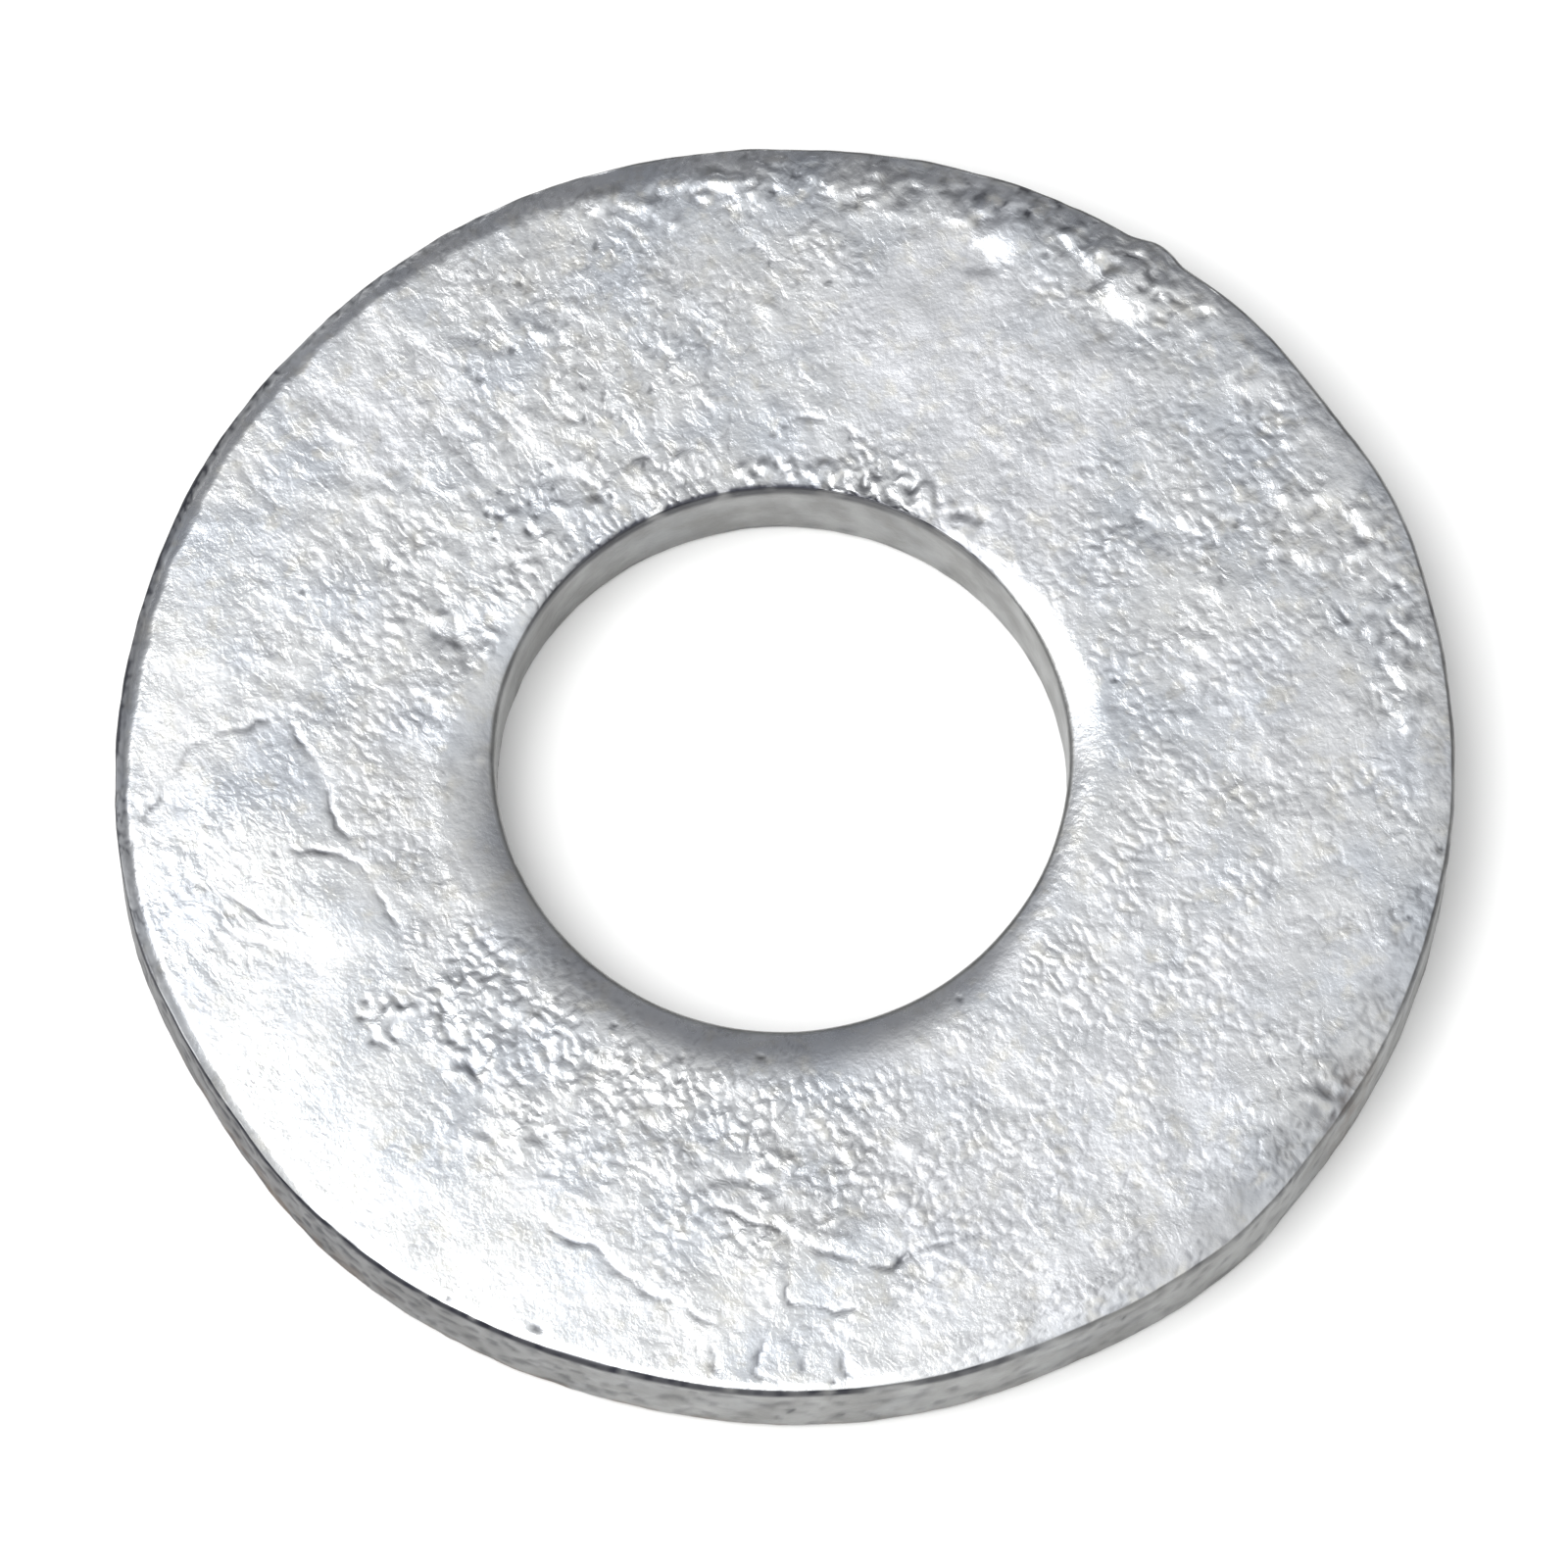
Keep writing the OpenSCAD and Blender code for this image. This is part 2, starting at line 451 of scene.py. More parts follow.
def near_curve(xy, line):
    """Distance of points from a curve, the side they lie on, and how far along it is nearest."""
    best = np.full(len(xy), 1e9)
    side = np.zeros(len(xy))
    along = np.zeros(len(xy))
    for k in range(len(line) - 1):
        a, step = line[k], line[k + 1] - line[k]
        t = np.clip((xy - a) @ step / (step @ step), 0, 1)
        off = xy - a - t[:, None] * step
        gap = np.hypot(off[:, 0], off[:, 1])
        closer = gap < best
        best[closer] = gap[closer]
        side[closer] = np.sign(step[0] * off[closer, 1] - step[1] * off[closer, 0])
        along[closer] = (k + t[closer]) / (len(line) - 1)
    return best, side, along


def crease(xy, wide, deep, step, places, waver):
    """Height of a flow line, a narrow valley that comes and goes, with the metal a little higher on
    its left, and a mask of the painted shade in its valley."""
    line = curve_through(places)
    reach = 1.2
    near = np.all((xy > line.min(0) - reach) & (xy < line.max(0) + reach), axis=1)
    out, feature_shade = np.zeros(len(xy)), np.zeros(len(xy))
    gap, side, along = near_curve(xy[near], line)
    ends = smooth(along, 0, 0.2) * (1 - smooth(along, 0.8, 1))
    broken = 1.8 if deep < 0.03 else 1.0
    valley = -deep * np.exp(-((gap / wide) ** 2)) * np.clip(0.4 + broken * waver[near], 0, 1.3)
    shelf = 0.4 * step * np.where(side > 0, np.exp(-gap / 0.6), 0) * (1 - np.exp(-((gap / (3 * wide)) ** 2)))
    out[near] = ends * (valley + shelf)
    feature_shade[near] = ends * valley / -deep
    return out, feature_shade


def dome(xy, deg, share, radius, tall):
    """A round swelling, or with a negative height a dimple."""
    return tall * np.exp(-((np.hypot(*(xy - place(deg, share)).T) / radius) ** 2))


def scattered(xy):
    """The crowds and chains of small bumps and pits."""
    rng = np.random.RandomState(7)
    spots = []
    for deg, share, spread, count, radius, tall in CROWDS:
        for _ in range(count):
            spots.append((place(deg, share) + rng.normal(size=2) * spread, radius, tall))
    for first, last, share, spread, count, radius, tall in CHAINS:
        for _ in range(count):
            at = place(rng.uniform(min(first, last), max(first, last)), share)
            spots.append((at + rng.normal(size=2) * spread, radius, tall))
    out = np.zeros(len(xy))
    for centre, radius, tall in spots:
        wide = radius * rng.uniform(0.6, 1.3)
        tall = tall * rng.uniform(0.3, 1.0) * rng.choice([-0.8, 1.0, 1.0])
        turn = rng.uniform(0, math.pi)
        stretch = rng.uniform(1.0, 1.8)
        near = np.all(np.abs(xy - centre) < 3 * wide * stretch, axis=1)
        x, y = (xy[near] - centre).T
        u = (x * math.cos(turn) + y * math.sin(turn)) / (wide * stretch)
        v = (y * math.cos(turn) - x * math.sin(turn)) / wide
        out[near] += tall * np.exp(-(u**2) - v**2)
    return out


def folds(p, deg, wave, stretch, seed):
    """Soft narrow folds a wave apart, stretched along a direction, with creases between them."""
    c, s = math.cos(math.radians(deg)), math.sin(math.radians(deg))
    bend = np.stack([noise(p / (wave * 4), seed + 50 + n) for n in range(2)], -1) * wave * 1.4
    x, y = p[:, 0] + bend[:, 0], p[:, 1] + bend[:, 1]
    q = np.stack([(x * c + y * s) / (wave * stretch), (-x * s + y * c) / wave, p[:, 2] / wave], -1)
    return 1.3 * np.sqrt(noise(q * 0.6, seed) ** 2 + 0.04) - 0.5 + 0.7 * noise(q, seed + 1)


class Skin:
    """Points of the coating's even skin, and where on the washer each of them lies."""

    def __init__(self, points, zone):
        self.p = points
        self.xy = points[:, :2]
        self.z = points[:, 2]
        self.zone = zone
        self.deg = np.degrees(np.arctan2(self.xy[:, 1], self.xy[:, 0]))
        self.r = np.hypot(self.xy[:, 0], self.xy[:, 1])
        self.share = (self.r - bore_r) / (rim_r - bore_r)
        self.upper = np.isin(zone, ["upper", "lip", "band"]).astype(float)
        self.under = (zone == "under").astype(float)
        self.side = np.isin(zone, ["rim", "edge", "foot"]).astype(float)
        self.wall = np.isin(zone, ["bore", "mouth"]).astype(float)
        self.waver = fractal(points / 0.7, 65, 2)


def patch_blend(skin):
    """How strong the folds are, how round their grain is and how frosted the zinc is: the patches,
    each weighed by its nearness, over a weak background."""
    total = np.full(len(skin.p), 0.15)
    strong, round_grain, frost = 0.7 * total, 0.3 * total, 0.3 * total
    for deg, share, reach, strength, roundness, frosting in PATCHES:
        weight = np.exp(-((np.hypot(*(skin.xy - place(deg, share)).T) / reach) ** 2))
        total += weight
        strong += weight * strength
        round_grain += weight * roundness
        frost += weight * frosting
    strong, round_grain, frost = strong / total, round_grain / total, frost / total
    strong = strong * (0.8 + 0.5 * fractal(skin.p / 1.6, 11, 2))
    frost = np.clip(frost + 0.35 * fractal(skin.p / 1.3, 15, 3), 0, 1)
    return strong, round_grain, frost


def calm_lip(skin):
    """1 nearly everywhere, and less on the band round the hole, which drew out smooth."""
    drawn = np.where(skin.zone == "lip", 1.0, 0.0) * smooth(round_curve(LIP_DEEP, skin.deg), 0.03, 0.15)
    wide = round_curve(LIP_WIDE, skin.deg)
    return 1 - 0.72 * drawn * (1 - smooth(skin.r, bore_r + 0.55 * wide, bore_r + 1.1 * wide))


def grain_relief(skin, strong, round_grain, calm):
    """Folds, beads, ripples and specks of the upper face, and a mask of the specks."""
    p = skin.p
    long_grain = folds(p, -50, 0.38, 1.7, 31)
    steep_grain = folds(p, -85, 0.4, 1.5, 35)
    pebbles = folds(p, 0, 0.4, 1.0, 41)
    right = smooth(np.cos(np.radians(skin.deg - 10)), 0.2, 0.8)
    grain = long_grain * (1 - right) + steep_grain * right
    grain = grain * (1 - round_grain) + pebbles * round_grain
    h = strong * calm * FOLD_TALL * grain

    x, y = skin.xy.T
    along, across = (x - y) * 0.71, (x + y) * 0.71
    curl = np.stack([noise(p / 0.3, 95 + n) for n in range(2)], -1) * 0.45
    bead = cells(np.stack([along / 0.36, across / 0.25], -1) + curl, 97)
    bead = smooth(bead, 0.0, 0.5) * smooth(noise(p / 0.9, 99), -0.5, 0.3)
    beaded = np.clip(0.35 + round_grain, 0, 1) * np.clip(strong, 0.3, 1.4) * calm
    h += beaded * BEAD_TALL * (bead - 0.5)

    h += calm * RIPPLE_TALL * noise(p / (0.2, 0.16, 0.2), 51) * (0.4 + 0.6 * strong)
    crowded = smooth(strong + 0.3 * fractal(p / 1.1, 57, 2), 0.7, 1.2)
    specks = smooth(noise(p / 0.2, 55), 0.5, 0.75) * crowded * calm
    return h - SPECK_DEEP * specks, specks


def feature_relief(skin):
    """Flow lines, swellings, pits and small bumps, and a mask of the painted shade in their valleys, pits and
    dips.
    """
    warp = np.stack([noise(skin.p / 0.55, 61 + n) for n in range(2)], -1) * 0.13
    warp += np.stack([noise(skin.p / 0.22, 63 + n) for n in range(2)], -1) * 0.045
    xy = skin.xy + warp
    named, crease_shade, pits = (np.zeros(len(xy)) for _ in range(3))
    for wide, deep, step, places in CREASES:
        level, feature_shade = crease(xy, wide, deep, step, places, skin.waver)
        named += level
        crease_shade = np.maximum(crease_shade, feature_shade * min(1, deep / 0.03))
    for spot in DOMES:
        named += dome(xy, *spot)
    for spot in PITS:
        pits += dome(xy, *spot, PIT_R, 1.0)
    pits = np.minimum(pits, 1)
    bits = scattered(skin.xy + 0.5 * warp)
    sunk_shade = smooth(-bits, 0.008, 0.03)
    # Painted shade: the colour darkens in pits, in sunk bumps and in the valleys of the flow lines
    return named - PIT_DEEP * pits + bits, np.maximum.reduce([0.5 * pits, 0.3 * sunk_shade, 0.6 * crease_shade])


def side_relief(skin):
    """Relief of the rim, of the hole's wall and of the under face."""
    p = skin.p
    h = skin.side * 0.012 * noise(p / 0.28, 77) * (0.3 + 0.7 * bump(skin.deg, -140, 60))
    h += skin.side * (0.03 * fractal(p / 1.3, 71, 3) + 0.011 * folds(p, 0, 0.5, 1.0, 75))
    h += skin.wall * 0.006 * fractal(p / 1.8, 81, 2)
    h += skin.under * (0.004 * fractal(p / 2, 91, 2) + 0.005 * folds(p, 20, 0.5, 1.6, 95))
    return h


def held_in(skin, h):
    """The relief, eased so that it stays inside the CAD model's box."""
    room = np.where(skin.upper > 0, height - skin.z, rim_r - skin.r - 0.002 * skin.side)
    room = np.where(skin.wall > 0, 0.05, np.maximum(room, 0.012))
    h = np.where(h > 0, room * np.tanh(h / room), h)
    return np.where((skin.under > 0) | (skin.zone == "foot"), np.minimum(h, FLAT_LOW), h)


def stain_and_shadow_mask(skin):
    """Rust: low on the rim at the lower left and a spot on the right; along the rim's foot, rust with a
    painted contact shadow.
    """
    deg = skin.deg
    low_left = bump(deg, -140, 22) * skin.side * (1 - smooth(skin.z, 0.2, 1.2))
    spot = 0.5 * bump(deg, -33, 6) * smooth(skin.share, 0.9, 0.97)
    # Along the foot of the rim: rust, and a painted contact shadow
    foot_stain_and_shadow = skin.side * bump(deg, -115, 60) * (1 - smooth(skin.z, 0.1, 0.35))
    return np.maximum(low_left + spot, foot_stain_and_shadow)


def edge_darkening(skin):
    """Painted shade as dark lines at the hole and at the rim, and darker mottled patches near the rim at the
    upper right.
    """
    deg, share = skin.deg, skin.share
    hole_edge = hole_drift(deg) + 0.05
    # Painted shade: a dark line round the hole's edge
    lip_shade_line = np.exp(-(((skin.r - hole_edge) / 0.085) ** 2)) * smooth(skin.z, 1.7, 1.9)
    lip_shade_line = lip_shade_line * bump(deg, 100, 75) ** 0.5 * smooth(skin.waver, -0.6, -0.1)
    lower_left = bump(deg, -130, 75) ** 0.5
    # Painted shade: a dark line along the rim's upper round, strongest at the lower left
    rim_shade_line = (skin.zone == "edge") * smooth(skin.waver + 0.5 * lower_left, -0.2, 0.3)
    rim_shade_line = rim_shade_line * (0.35 + 0.65 * lower_left)
    over = smooth(skin.z, 0.6, 1.6)
    patchy = smooth(noise(skin.p / 0.32, 85), 0.0, 0.5)
    # Darker mottled patches near the rim at the upper right
    dark_patches = over * bump(deg, 68, 16) * smooth(share, 0.84, 0.93) * patchy
    # Painted shade: a dark line near the rim on the left
    left_shade_line = over * bump(deg, 163, 56) ** 0.7 * smooth(share, 0.958, 0.976) * (skin.zone != "rim")
    return np.maximum.reduce([lip_shade_line, 0.9 * rim_shade_line, 0.6 * dark_patches, 0.8 * left_shade_line])


def shade_mask(skin):
    """Soft grey of the upper face: along the rim at the lower right, and nearer the hole below and
    on the left."""
    deg, share = skin.deg, skin.share
    lower_right = bump(deg, -45, 44) * smooth(share, 0.8, 0.93) * (0.75 + 0.5 * skin.waver)
    border = 0.5 + 0.006 * (deg + 100)
    below = bump(deg, -88, 34) * smooth(share, 0.2, 0.3) * (1 - smooth(share, border - 0.02, border + 0.02))
    left = bump(deg, -168, 48) * (1 - smooth(share, 0.25, 0.5)) * (0.8 + 0.6 * skin.waver)
    return np.maximum.reduce([0.34 * lower_right, 0.14 * below, 0.15 * left])


def side_darkening(skin):
    """Specks on the rim, and an even grey on it at the lower left."""
    specked = smooth(noise(skin.p / 0.24, 87), 0.4, 0.8) * smooth(noise(skin.p / 1.4, 89), -0.1, 0.4)
    return skin.side * np.maximum(0.6 * specked, 0.48 * bump(skin.deg, -150, 60))


def relief(points, zone):
    """Height of the zinc over its even skin, and masks of frost, painted shade with dirt, stain with a
    painted foot shadow, and crisp folds.
    """
    skin = Skin(points, zone)
    strong, round_grain, frost = patch_blend(skin)
    calm = calm_lip(skin)
    grain, specks = grain_relief(skin, strong, round_grain, calm)
    features, feature_shade = feature_relief(skin)
    h = SWELL_TALL * fractal(points / 2.4, 21, 3) * (0.6 + 0.4 * skin.upper)
    h += skin.upper * (grain + features + calm * 0.005 * noise(points / 0.75, 67))
    h = held_in(skin, h + side_relief(skin))
    # Painted shade on the upper face: in pits, crease valleys, sunk bumps and specks, and the soft grey of
    # shade_mask
    upper_face_shade = skin.upper * np.maximum.reduce([feature_shade, 0.3 * specks, shade_mask(skin)])
    # Painted shade with some dirt: the upper face's marks, the edge lines and the side marks together
    painted_shade_and_dirt = np.maximum.reduce([upper_face_shade, edge_darkening(skin), side_darkening(skin)])
    return h, frost * skin.upper, painted_shade_and_dirt, stain_and_shadow_mask(skin), np.clip(strong * calm, 0, 1.3)


# ---------------------------------------------------------------- meshes


SKIN_ROUNDS = 1040  # directions of the zinc's grid
SKIN_ROWS = (30, 3, 14, 5, 10, 104, 16, 5, 13, 3)  # stations in each zone of its section
STEEL_ROUNDS = 240
STEEL_ROWS = (16, 2, 4, 3, 5, 20, 6, 3, 4, 2)
STEEL_GAP = 0.01  # further in than the zinc is thick, so that the steel never shows
CAVITY_FULL = 0.009  # depth under its surroundings that would give a point the full painted shade
CAVITY_DARK = 0.36  # the most painted shade that a depth gives


def ring_faces(rows, cols):
    """Quads of a closed grid of points: rows round the section, cols round the ring."""
    i, j = np.meshgrid(np.arange(rows), np.arange(cols), indexing="ij")
    i2, j2 = (i + 1) % rows, (j + 1) % cols
    return np.stack([i * cols + j, i * cols + j2, i2 * cols + j2, i2 * cols + j], -1).reshape(-1, 4)


def mesh_object(name, points, quads):
    """A smooth-shaded mesh object from points in millimetres and quads."""
    mesh = bpy.data.meshes.new(name)
    mesh.from_pydata((points * MM).tolist(), [], quads.tolist())
    mesh.validate()
    mesh.shade_smooth()
    made = bpy.data.objects.new(name, mesh)
    bpy.context.scene.collection.objects.link(made)
    return made


def cavity(h, rounds=3):
    """How deep each grid point lies under its neighbourhood."""
    soft = h.copy()
    for _ in range(rounds):
        across = np.roll(soft, 1, 0) + np.roll(soft, -1, 0)
        round_about = np.roll(soft, 1, 1) + np.roll(soft, -1, 1)
        soft = (soft + across + round_about) / 5
    return np.maximum(soft - h, 0)


def add_mask(obj, name, values):
    """A named mask on the mesh's points, for its material to read."""
    layer = obj.data.attributes.new(name, "FLOAT", "POINT")
    layer.data.foreach_set("value", np.asarray(values, np.float32))


def zinc_skin():
    """The coating: its wrinkled outer skin, and the inner skin that lies on the steel."""
    points, normals, zone = ring_grid(SKIN_ROUNDS, SKIN_ROWS, LIP_ROUND_SHARP)
    rows, cols = points.shape[:2]
    zones = np.repeat(zone, cols)
    flat = points.reshape(-1, 3)
    h, frost, painted_shade_and_dirt, stain_and_shadow, fold = relief(flat, zones)
    outer = flat + normals.reshape(-1, 3) * h[:, None]
    quads = ring_faces(rows, cols)
    inner, inner_quads = steel_shape()
    skin = mesh_object(
        "zinc_skin",
        np.concatenate([outer, inner]),
        np.concatenate([quads, inner_quads[:, ::-1] + len(outer)]),
    )
    deep = cavity(h.reshape(rows, cols)).ravel()
    within = np.zeros(len(inner))
    masks = {
        "frost": frost,
        "fold": fold,
        # Painted shade in the relief's hollows, by how deep each point lies under its neighbourhood
        "painted_shade_and_dirt": np.clip(painted_shade_and_dirt + np.minimum(deep / CAVITY_FULL, CAVITY_DARK), 0, 1),
        "stain_and_shadow": stain_and_shadow,
        "side": np.isin(zones, ["rim", "edge", "mouth", "bore", "foot"]),
    }
    for name, values in masks.items():
        add_mask(skin, name, np.concatenate([values, within]))
    return skin


def steel_shape():
    """Points and quads of the steel ring: the even skin, moved in by a little more than the zinc's
    thickness."""
    points, normals, _ = ring_grid(STEEL_ROUNDS, STEEL_ROWS, least_round=0.15)
    rows, cols = points.shape[:2]
    inner = points - normals * (zinc_t + STEEL_GAP)
    return inner.reshape(-1, 3), ring_faces(rows, cols)


def steel_ring():
    """The stamped ring inside the zinc."""
    points, quads = steel_shape()
    return mesh_object("steel_ring", points, quads)


# ---------------------------------------------------------------- materials


# The colour sockets of a Mix node
MIX_A, MIX_B, MIX_OUT = 6, 7, 2


class Nodes:
    """A short way to write a node material: each call adds a node and returns its output."""

    def __init__(self, name):
        self.material = bpy.data.materials.new(name)
        self.material.use_nodes = True
        self.tree = self.material.node_tree
        self.shader = self.tree.nodes["Principled BSDF"]
        self.coords = self.tree.nodes.new("ShaderNodeTexCoord").outputs["Object"]

    def put(self, socket, value):
        if isinstance(value, bpy.types.NodeSocket):
            self.tree.links.new(value, socket)
        else:
            socket.default_value = value

    def noise(self, size, detail=4.0, rough=0.5, stretch=(1, 1, 1), turn=0.0, warp=0.0):
        """Fractal noise with features about size millimetres across."""
        place = self.tree.nodes.new("ShaderNodeMapping")
        place.vector_type = "TEXTURE"
        place.inputs["Rotation"].default_value = (0, 0, math.radians(turn))
        place.inputs["Scale"].default_value = stretch
        self.put(place.inputs["Vector"], self.coords)
        node = self.tree.nodes.new("ShaderNodeTexNoise")
        node.inputs["Scale"].default_value = 1 / (size * MM)
        node.inputs["Detail"].default_value = detail
        node.inputs["Roughness"].default_value = rough
        node.inputs["Distortion"].default_value = warp
        self.put(node.inputs["Vector"], place.outputs["Vector"])
        return node.outputs["Fac"]

    def mask(self, name):
        node = self.tree.nodes.new("ShaderNodeAttribute")
        node.attribute_name = name
        return node.outputs["Fac"]

    def fit(self, value, a, b, c=0.0, d=1.0):
        """Moves value from the range a to b into the range c to d, held at its ends."""
        node = self.tree.nodes.new("ShaderNodeMapRange")
        node.interpolation_type = "SMOOTHSTEP"
        self.put(node.inputs["Value"], value)
        for key, v in (("From Min", a), ("From Max", b), ("To Min", c), ("To Max", d)):
            node.inputs[key].default_value = v
        return node.outputs["Result"]

    def math(self, kind, a, b):
        node = self.tree.nodes.new("ShaderNodeMath")
        node.operation = kind
        self.put(node.inputs[0], a)
        self.put(node.inputs[1], b)
        return node.outputs[0]

    def mix(self, fac, a, b):
        node = self.tree.nodes.new("ShaderNodeMix")
        node.data_type = "RGBA"
        self.put(node.inputs["Factor"], fac)
        self.put(node.inputs[MIX_A], a)
        self.put(node.inputs[MIX_B], b)
        return node.outputs[MIX_OUT]

    def bump(self, level, depth, under=None):
        """Bumps of a depth in millimetres, on top of any bumps under them."""
        node = self.tree.nodes.new("ShaderNodeBump")
        node.inputs["Distance"].default_value = depth * MM
        self.put(node.inputs["Height"], level)
        if under is not None:
            self.put(node.inputs["Normal"], under)
        return node.outputs["Normal"]

    def finish(self, color, roughness, normal, metallic):
        self.put(self.shader.inputs["Base Color"], color)
        self.put(self.shader.inputs["Roughness"], roughness)
        self.put(self.shader.inputs["Normal"], normal)
        self.shader.inputs["Metallic"].default_value = metallic
        return self.material


def zinc_material():
    """Hot-dip zinc: bright wrinkled metal, frosted in places, with painted shade in its folds, pits and
    hollows, along its edges and on its sides.
    """
    n = Nodes("hot_dip_zinc")
    bright = (0.72, 0.73, 0.74, 1)
    cool = (0.61, 0.64, 0.685, 1)
    warm = (0.70, 0.69, 0.65, 1)
    matt = (0.65, 0.66, 0.685, 1)
    side_shade_grey = (0.225, 0.225, 0.22, 1)
    shade_and_dirt_grey = (0.022, 0.023, 0.034, 1)
    rust_and_shadow = (0.13, 0.10, 0.08, 1)
    frost = n.mask("frost")
    tone = n.mix(n.fit(n.noise(1.8, 5), 0.38, 0.68), bright, cool)
    tone = n.mix(n.fit(frost, 0.15, 0.85), tone, matt)
    tone = n.mix(n.fit(n.noise(0.45, 4), 0.5, 0.75, 0, 0.8), tone, warm)
    tone = n.mix(n.fit(n.noise(0.16, 3, 0.6, stretch=(1.6, 1, 1), turn=-50), 0.56, 0.74, 0, 0.35), tone, cool)
    # Painted shade on the rim's side, the hole's wall and their rounds: the colour goes most of the way to a
    # dark grey
    tone = n.mix(n.math("MULTIPLY", n.mask("side"), n.fit(n.noise(0.9, 4), 0.3, 0.7, 0.8, 1.0)), tone, side_shade_grey)
    # Painted shade, with some dirt: pits, folds, hollows and edge lines take the colour towards a near-black
    # grey
    tone = n.mix(n.math("MULTIPLY", n.mask("painted_shade_and_dirt"), 0.95), tone, shade_and_dirt_grey)
    # Rust, and along the foot of the rim a painted contact shadow as well
    stain_and_shadow_amount = n.math("MULTIPLY", n.mask("stain_and_shadow"), n.fit(n.noise(0.5, 4), 0.38, 0.6))
    tone = n.mix(stain_and_shadow_amount, tone, rust_and_shadow)
    grain = n.noise(0.1, 3, 0.6)
    rough = n.math("ADD", n.fit(frost, 0, 1, 0.2, 0.36), n.fit(n.noise(0.8, 4), 0.3, 0.7, -0.04, 0.07))
    rough = n.math("ADD", rough, n.math("MULTIPLY", n.mask("side"), 0.2))
    rough = n.math("ADD", rough, n.math("MULTIPLY", n.mask("painted_shade_and_dirt"), 0.25))
    crisp = n.fit(n.mask("fold"), 0, 1.2, 0.2, 1)
    fine = n.math("MULTIPLY", n.noise(0.22, 3, 0.5, stretch=(1.6, 1, 1), turn=-50, warp=1.2), crisp)
    normal = n.bump(fine, 0.013)
    normal = n.bump(grain, 0.007, normal)
    return n.finish(tone, rough, normal, 1.0)


def steel_material():
    """Mill steel under the zinc: dull grey, with rolling lines and a grey-brown scale."""
    n = Nodes("mild_steel")
    tone = n.mix(n.fit(n.noise(1.2, 5), 0.4, 0.65), (0.42, 0.41, 0.40, 1), (0.30, 0.29, 0.28, 1))
    lines = n.noise(0.3, 3, 0.6, stretch=(0.06, 1, 1))
    tone = n.mix(n.fit(lines, 0.5, 0.8, 0, 0.5), tone, (0.52, 0.51, 0.50, 1))
    rough = n.fit(lines, 0.3, 0.7, 0.38, 0.55)
    return n.finish(tone, rough, n.bump(lines, 0.01), 1.0)


def floor_material():
    """A plain pale sweep."""
    n = Nodes("pale_floor")
    tone = n.mix(n.noise(60, 2), (0.89, 0.89, 0.885, 1), (0.91, 0.91, 0.905, 1))
    return n.finish(tone, 0.8, n.bump(n.noise(0.6, 2), 0.002), 0.0)


def set_material(obj, material):
    obj.data.materials.clear()
    obj.data.materials.append(material)


# ---------------------------------------------------------------- camera, lights and floor

CAMERA_RISE = 68.98  # degrees over the horizon
CAMERA_FAR = 231.7
VIEW_WIDE = 30.04  # what the frame spans at the washer
SENSOR = 36.0
AIM = (-0.017, 0, 0.5)  # the point at the middle of the frame


def make_camera():
    """Looks down at the upper face from in front, a little off square."""
    data = bpy.data.cameras.new("camera")
    data.sensor_width = SENSOR
    data.lens = SENSOR * CAMERA_FAR / VIEW_WIDE
    data.clip_start, data.clip_end = 0.01, 10
    cam = bpy.data.objects.new("camera", data)
    bpy.context.scene.collection.objects.link(cam)
    rise = math.radians(CAMERA_RISE)
    cam.location = (np.array(AIM) + CAMERA_FAR * np.array([0, -math.cos(rise), math.sin(rise)])) * MM
    cam.rotation_euler = (math.pi / 2 - rise, 0, 0)
    bpy.context.scene.camera = cam


KEY = (-0.46, -0.15, 0.88)  # direction of the key light, from the washer
KEY_FAR = 430
KEY_WIDE = 380
KEY_RADIANCE = 4.0
ROOM = (0.0, -0.6, 0.75)  # direction in which the room is brightest


def soft_light(name, direction, far, wide, radiance):
    """A square soft box that faces the washer, as bright as radiance all over."""
    data = bpy.data.lights.new(name, "AREA")
    data.shape = "SQUARE"
    data.size = wide * MM
    data.energy = radiance * math.pi * data.size**2
    box = bpy.data.objects.new(name, data)
    bpy.context.scene.collection.objects.link(box)
    toward = Vector(direction).normalized()
    box.location = toward * far * MM
    box.rotation_mode = "QUATERNION"
    box.rotation_quaternion = toward.to_track_quat("Z", "Y")


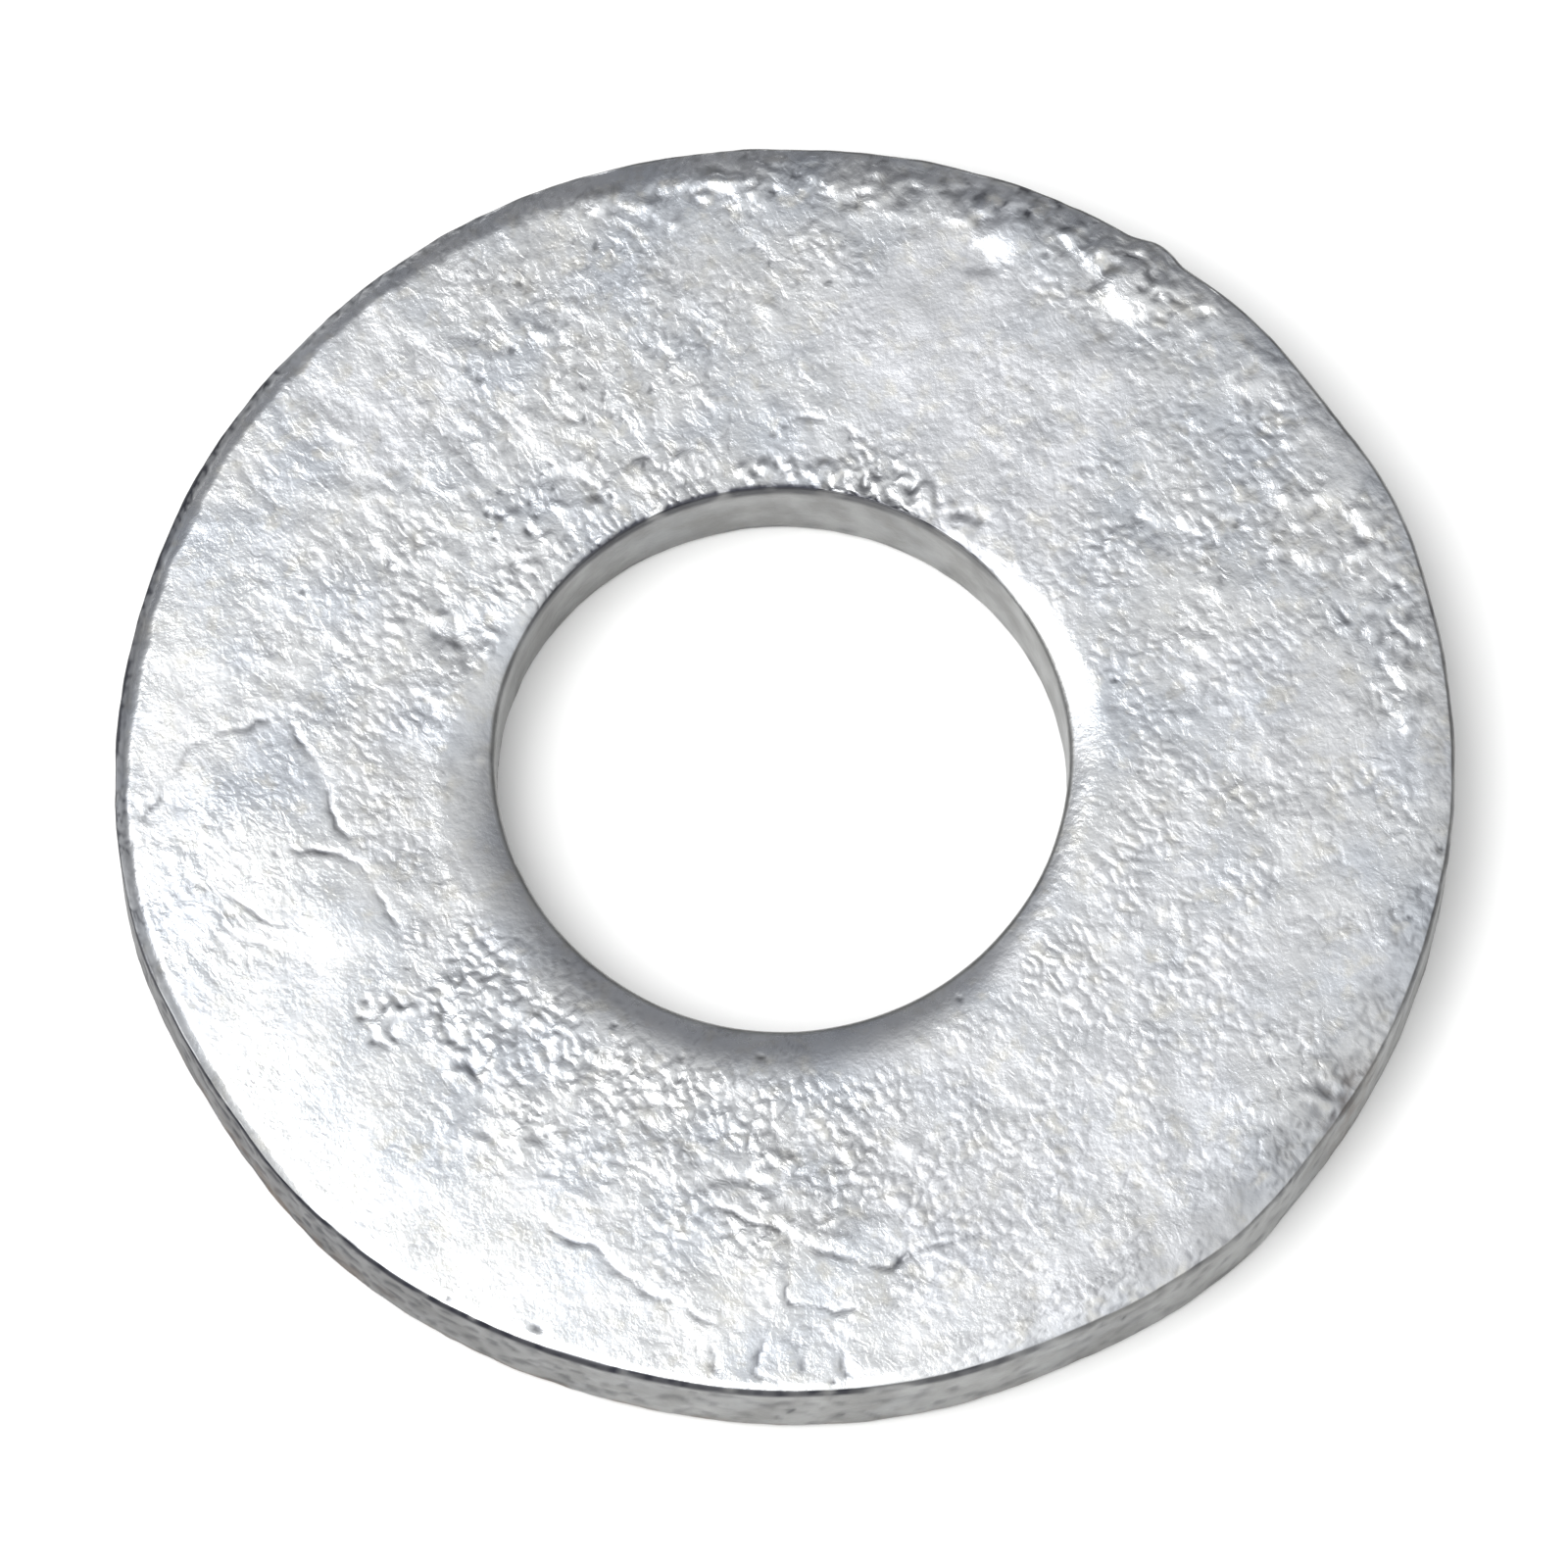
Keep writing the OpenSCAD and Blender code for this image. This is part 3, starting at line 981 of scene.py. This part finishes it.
def make_world():
    """Soft light from all over the room, bright in front and overhead, and dim behind. The camera
    itself sees a plain pale backdrop instead."""
    world = bpy.data.worlds.new("world")
    world.use_nodes = True
    tree = world.node_tree
    back = tree.nodes["Background"]
    way = tree.nodes.new("ShaderNodeTexCoord").outputs["Generated"]
    dot = tree.nodes.new("ShaderNodeVectorMath")
    dot.operation = "DOT_PRODUCT"
    tree.links.new(way, dot.inputs[0])
    dot.inputs[1].default_value = Vector(ROOM).normalized()
    ramp = tree.nodes.new("ShaderNodeMapRange")
    ramp.interpolation_type = "SMOOTHSTEP"
    tree.links.new(dot.outputs["Value"], ramp.inputs["Value"])
    for key, v in (("From Min", -0.15), ("From Max", 1.0), ("To Min", 0.0), ("To Max", 1.0)):
        ramp.inputs[key].default_value = v
    tint = tree.nodes.new("ShaderNodeMix")
    tint.data_type = "RGBA"
    tree.links.new(ramp.outputs["Result"], tint.inputs["Factor"])
    tint.inputs[MIX_A].default_value = (0.28, 0.284, 0.3, 1)
    tint.inputs[MIX_B].default_value = (1.19, 1.195, 1.19, 1)
    plain = tree.nodes.new("ShaderNodeMix")
    plain.data_type = "RGBA"
    rays = tree.nodes.new("ShaderNodeLightPath")
    tree.links.new(rays.outputs["Is Camera Ray"], plain.inputs["Factor"])
    tree.links.new(tint.outputs[MIX_OUT], plain.inputs[MIX_A])
    plain.inputs[MIX_B].default_value = (0.9, 0.9, 0.9, 1)
    tree.links.new(plain.outputs[MIX_OUT], back.inputs["Color"])
    bpy.context.scene.world = world


FLOOR_REACH = 3000.0
FLOOR_LEVEL = FLAT_LOW - 0.03


def make_floor():
    """The pale floor just under the washer, wide enough for every view."""
    steps = 24
    line = np.linspace(-FLOOR_REACH, FLOOR_REACH, steps)
    x, y = np.meshgrid(line, line, indexing="ij")
    points = np.stack([x, y, np.full_like(x, FLOOR_LEVEL)], -1).reshape(-1, 3)
    quads = [
        [i * steps + j, (i + 1) * steps + j, (i + 1) * steps + j + 1, i * steps + j + 1]
        for i in range(steps - 1)
        for j in range(steps - 1)
    ]
    floor = mesh_object("floor", points, np.array(quads))
    set_material(floor, floor_material())


def make_lights():
    soft_light("key", KEY, KEY_FAR, KEY_WIDE, KEY_RADIANCE)
    make_world()
    bpy.context.scene.view_settings.view_transform = "Standard"


# ---------------------------------------------------------------- assembly

make_camera()
make_lights()
make_floor()

skin = zinc_skin()
set_material(skin, zinc_material())
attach(skin, "root")
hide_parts("zinc_coating")

steel = steel_ring()
set_material(steel, steel_material())
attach(steel, "root")
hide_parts("steel_core")
